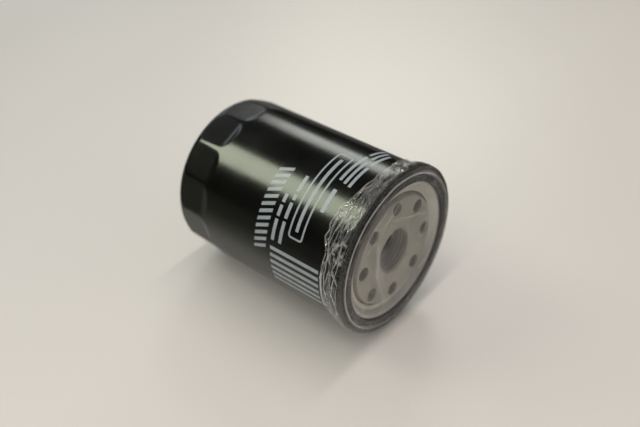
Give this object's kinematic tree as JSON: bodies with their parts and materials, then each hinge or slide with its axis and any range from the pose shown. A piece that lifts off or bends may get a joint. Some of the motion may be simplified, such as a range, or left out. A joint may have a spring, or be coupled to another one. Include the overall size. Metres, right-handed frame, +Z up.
{
  "type": "oil filter",
  "caption": "Spin-on engine oil filter: drawn can with wrench flats, tapping plate with thread and inlet holes, gasket, pleated element, bypass and drainback valves, film cap.",
  "frame": {"origin": "centre of the flat at the middle of the closed (dome) end, on the filter's axis", "axes": "+X along the filter's axis from the closed end to the threaded end; +Z up as the filter lies on its side, through the middle of one wrench flat and one inlet hole"},
  "size_m": [0.0889, 0.0694, 0.0696],
  "materials": {
    "black_paint": "semi-gloss",
    "zinc_steel": "satin zinc plate",
    "plate_steel": "dull, lightly oiled",
    "black_rubber": "moulded, lightly oiled",
    "seam_compound": "cured compound",
    "valve_rubber": "moulded",
    "filter_paper": "resin-treated, matt",
    "tin_steel": "bright tin plate",
    "plastisol": "cured, satin",
    "spring_steel": "oil-tempered",
    "valve_nylon": "moulded",
    "clear_film": "clear, glossy"
  },
  "bodies": {
    "housing": {"can": "black_paint", "seaming_lid": "zinc_steel", "tapping_plate": "plate_steel", "base_gasket": "black_rubber", "seam_sealant": "seam_compound"},
    "element": {"pleated_media": "filter_paper", "media_seam_clip": "tin_steel", "centre_tube": "tin_steel", "upper_end_cap": "tin_steel", "lower_end_cap": "tin_steel", "upper_bond_ring": "plastisol", "lower_bond_ring": "plastisol", "bypass_valve_seat": "tin_steel", "bypass_cage": "tin_steel", "bypass_spring": "spring_steel", "element_spring": "spring_steel"},
    "bypass_valve": {"bypass_poppet": "valve_nylon", "bypass_seal": "valve_rubber"},
    "drainback_valve": {"anti_drainback_valve": "valve_rubber"},
    "film": {"shrink_film_cap": "clear_film"}
  },
  "joints": [
    {"name": "element_float", "type": "slide", "parent": "housing", "child": "element", "axis": [-1, 0, 0], "range_m": [0, 0.002], "deforming": ["element_spring"]},
    {"name": "bypass_open", "type": "slide", "parent": "element", "child": "bypass_valve", "axis": [1, 0, 0], "range_m": [0, 0.0025], "deforming": ["bypass_spring"]},
    {"name": "drainback_lip_lift", "type": "slide", "parent": "housing", "child": "drainback_valve", "axis": [-1, 0, 0], "range_m": [0, 0.0006]},
    {"name": "film_lift_off", "type": "slide", "parent": "housing", "child": "film", "axis": [1, 0, 0], "range_m": [0, 0.03]}
  ]
}
